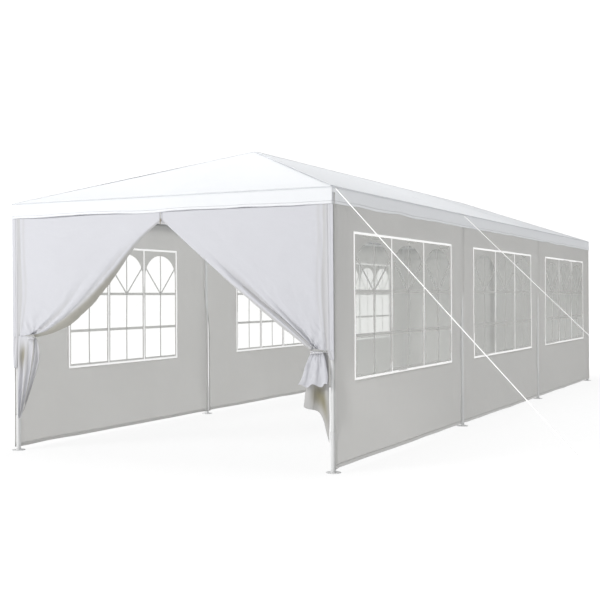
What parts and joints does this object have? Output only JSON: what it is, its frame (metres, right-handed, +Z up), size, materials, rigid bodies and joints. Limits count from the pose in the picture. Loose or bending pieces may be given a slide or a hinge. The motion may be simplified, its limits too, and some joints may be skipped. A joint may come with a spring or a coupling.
{
  "type": "marquee tent",
  "caption": "White marquee tent with a hipped roof cover, steel pole frame, window side walls, a tied-back curtain door and guy ropes.",
  "frame": {"origin": "on the ground under the middle of the tent", "axes": "+Z up, +Y along the tent from the open door end to the closed back end, +X across it to the right as seen from the door"},
  "size_m": [7.0484, 9.11, 2.55],
  "materials": {
    "frame_steel": "white powder coat, satin",
    "connector_steel": "white powder coat, satin",
    "cover_fabric": "coated woven polyethylene, soft sheen",
    "wall_fabric": "coated woven polyethylene, soft sheen",
    "window_film": "clear flexible film, glossy",
    "tie_webbing": "woven strap",
    "rope": "braided cord"
  },
  "bodies": {
    "root": {"back_wall": "wall_fabric", "common_rafter_second_left": "frame_steel", "common_rafter_second_right": "frame_steel", "common_rafter_third_left": "frame_steel", "common_rafter_third_right": "frame_steel", "door_half_left": "wall_fabric", "door_half_right": "wall_fabric", "door_header": "wall_fabric", "eave_connector_back_left": "connector_steel", "eave_connector_back_right": "connector_steel", "eave_connector_front_left": "connector_steel", "eave_connector_front_right": "connector_steel", "eave_connector_second_left": "connector_steel", "eave_connector_second_right": "connector_steel", "eave_connector_third_left": "connector_steel", "eave_connector_third_right": "connector_steel", "eave_rail_back": "frame_steel", "eave_rail_front": "frame_steel", "eave_rail_left_back": "frame_steel", "eave_rail_left_front": "frame_steel", "eave_rail_left_middle": "frame_steel", "eave_rail_right_back": "frame_steel", "eave_rail_right_front": "frame_steel", "eave_rail_right_middle": "frame_steel", "guy_rope_back_left": "rope", "guy_rope_back_right": "rope", "guy_rope_front_left": "rope", "guy_rope_front_right": "rope", "guy_rope_second_left": "rope", "guy_rope_second_right": "rope", "hip_rafter_back_left": "frame_steel", "hip_rafter_back_right": "frame_steel", "hip_rafter_front_left": "frame_steel", "hip_rafter_front_right": "frame_steel", "leg_back_left": "frame_steel", "leg_back_right": "frame_steel", "leg_front_left": "frame_steel", "leg_front_right": "frame_steel", "leg_second_left": "frame_steel", "leg_second_right": "frame_steel", "leg_third_left": "frame_steel", "leg_third_right": "frame_steel", "ridge_back": "frame_steel", "ridge_front": "frame_steel", "ridge_middle": "frame_steel", "roof_cover": "cover_fabric", "side_wall_left_back": "wall_fabric", "side_wall_left_front": "wall_fabric", "side_wall_left_middle": "wall_fabric", "side_wall_right_back": "wall_fabric", "side_wall_right_front": "wall_fabric", "side_wall_right_middle": "wall_fabric", "tie_back_left": "tie_webbing", "tie_back_right": "tie_webbing", "window_film_left": "window_film", "window_film_right": "window_film"}
  },
  "joints": []
}
